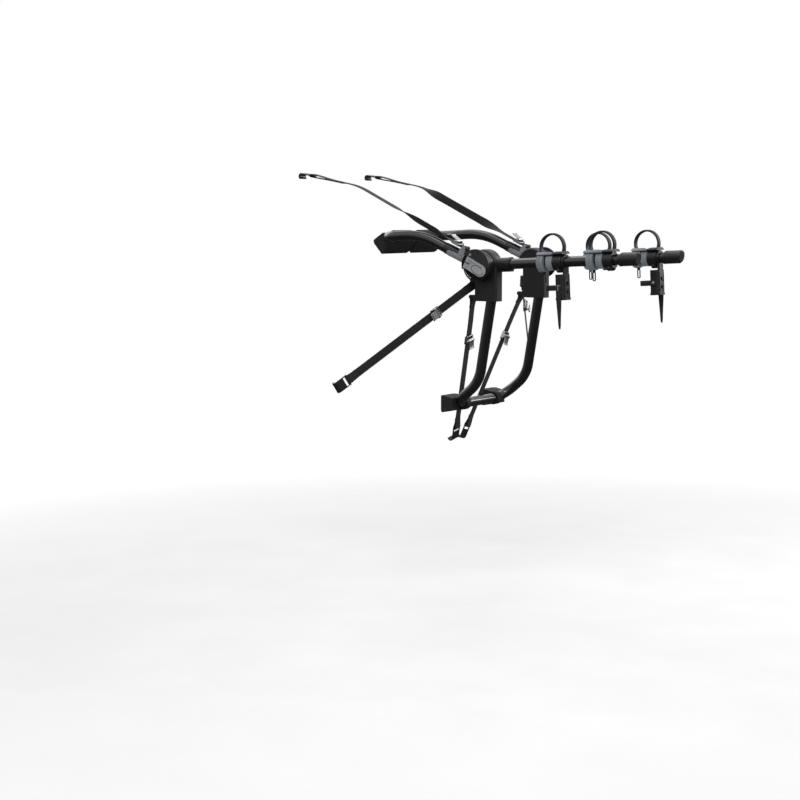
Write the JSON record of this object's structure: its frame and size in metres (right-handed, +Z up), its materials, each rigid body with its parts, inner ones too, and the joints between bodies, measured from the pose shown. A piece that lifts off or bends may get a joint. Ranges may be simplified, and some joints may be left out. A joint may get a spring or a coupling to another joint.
{
  "type": "trunk mounted bike rack",
  "caption": "Strap-on rear bike rack: arms with rubber cradles on two lockable hubs, a folding upper frame, a lower frame with rubber feet, and webbing straps with cam buckles and hooks.",
  "frame": {"origin": "midway between the contact faces of the lower feet", "axes": "X to the right of the vehicle, Y forward to its rear door, Z up; the bike arms reach to -Y"},
  "size_m": [1.0766, 1.1499, 0.8155],
  "materials": {
    "tube_black": "gloss black paint",
    "housing_black": "satin black moulding",
    "cover_grey": "dark grey moulding",
    "lever_grey": "light grey moulding",
    "connector_grey": "grey moulding",
    "bright_steel": "bright plated",
    "foot_rubber": "matt",
    "clamp_black": "satin black moulding",
    "pad_rubber": "matt blue grey",
    "strap_rubber": "matt",
    "webbing": "woven",
    "hook_coat": "dipped coating"
  },
  "bodies": {
    "frame": {"hub_body_left": "housing_black", "hub_body_right": "housing_black", "hub_cover_left": "cover_grey", "hub_cover_right": "cover_grey", "hub_axles": "bright_steel", "lever_pins": "bright_steel", "lower_tube": "tube_black", "lower_foot_left": "foot_rubber", "lower_foot_right": "foot_rubber", "arm_tube_left": "tube_black", "arm_tube_right": "tube_black", "arm_pins": "bright_steel", "end_cap_left": "clamp_black", "end_cap_right": "clamp_black", "cradle_clamp_left_inner": "clamp_black", "cradle_clamp_left_outer": "clamp_black", "cradle_clamp_right_inner": "clamp_black", "cradle_clamp_right_outer": "clamp_black", "cradle_pad_left_inner": "pad_rubber", "cradle_pad_left_outer": "pad_rubber", "cradle_pad_right_inner": "pad_rubber", "cradle_pad_right_outer": "pad_rubber", "cradle_strap_left_inner": "strap_rubber", "cradle_strap_left_outer": "strap_rubber", "cradle_strap_right_inner": "strap_rubber", "cradle_strap_right_outer": "strap_rubber", "side_strap_left": "webbing", "side_strap_right": "webbing", "bottom_strap_left": "webbing", "bottom_strap_right": "webbing", "side_buckles": "bright_steel", "bottom_buckles": "bright_steel", "side_hooks": "hook_coat", "bottom_hooks": "hook_coat"},
    "upper_frame": {"knuckle_left": "housing_black", "knuckle_right": "housing_black", "connector_left": "connector_grey", "connector_right": "connector_grey", "upper_tube": "tube_black", "upper_foot_left": "foot_rubber", "upper_foot_right": "foot_rubber", "top_strap_left": "webbing", "top_strap_right": "webbing", "top_buckles": "bright_steel", "top_hooks": "hook_coat"},
    "hub_lever_left": {"hub_lever_left": "lever_grey"},
    "sway_cage_left": {"sway_cage_left": "clamp_black", "sway_strap_left": "strap_rubber"},
    "top_cam_left": {"top_cam_left": "bright_steel"},
    "side_cam_left": {"side_cam_left": "bright_steel"},
    "bottom_cam_left": {"bottom_cam_left": "bright_steel"},
    "hub_lever_right": {"hub_lever_right": "lever_grey"},
    "sway_cage_right": {"sway_cage_right": "clamp_black", "sway_strap_right": "strap_rubber"},
    "top_cam_right": {"top_cam_right": "bright_steel"},
    "side_cam_right": {"side_cam_right": "bright_steel"},
    "bottom_cam_right": {"bottom_cam_right": "bright_steel"}
  },
  "joints": [
    {"name": "upper_frame_turn", "type": "hinge", "parent": "frame", "child": "upper_frame", "pos_m": [0, -0.15709, 0.41522], "axis": [1, 0, 0], "range_deg": [-50, 90]},
    {"name": "hub_lever_right_turn", "type": "hinge", "parent": "frame", "child": "hub_lever_right", "pos_m": [0.1998, -0.13211, 0.42346], "axis": [0, -0.454, 0.891], "range_deg": [0, 100]},
    {"name": "sway_cage_right_turn", "type": "hinge", "parent": "frame", "child": "sway_cage_right", "pos_m": [0.135, -0.15709, 0.41522], "axis": [0, -0.9986, 0.0523], "range_deg": [-40, 40]},
    {"name": "top_cam_right_turn", "type": "hinge", "parent": "upper_frame", "child": "top_cam_right", "pos_m": [0.1715, -0.08426, 0.48452], "axis": [1, 0, 0], "range_deg": [0, 70]},
    {"name": "side_cam_right_turn", "type": "hinge", "parent": "frame", "child": "side_cam_right", "pos_m": [0.25095, -0.06437, 0.27731], "axis": [-0.4795, -0.247, -0.8421], "range_deg": [0, 70]},
    {"name": "bottom_cam_right_turn", "type": "hinge", "parent": "frame", "child": "bottom_cam_right", "pos_m": [0.10154, -0.08194, 0.19013], "axis": [-0.971, -0.0717, 0.228], "range_deg": [0, 70]},
    {"name": "hub_lever_left_turn", "type": "hinge", "parent": "frame", "child": "hub_lever_left", "pos_m": [-0.1998, -0.13211, 0.42346], "axis": [0, 0.454, -0.891], "range_deg": [0, 100]},
    {"name": "sway_cage_left_turn", "type": "hinge", "parent": "frame", "child": "sway_cage_left", "pos_m": [-0.135, -0.15709, 0.41522], "axis": [0, -0.9986, 0.0523], "range_deg": [-40, 40]},
    {"name": "top_cam_left_turn", "type": "hinge", "parent": "upper_frame", "child": "top_cam_left", "pos_m": [-0.1715, -0.08426, 0.48452], "axis": [1, 0, 0], "range_deg": [0, 70]},
    {"name": "side_cam_left_turn", "type": "hinge", "parent": "frame", "child": "side_cam_left", "pos_m": [-0.25095, -0.06437, 0.27731], "axis": [-0.4795, 0.247, 0.8421], "range_deg": [0, 70]},
    {"name": "bottom_cam_left_turn", "type": "hinge", "parent": "frame", "child": "bottom_cam_left", "pos_m": [-0.10154, -0.08194, 0.19013], "axis": [-0.971, 0.0717, -0.228], "range_deg": [0, 70]}
  ]
}
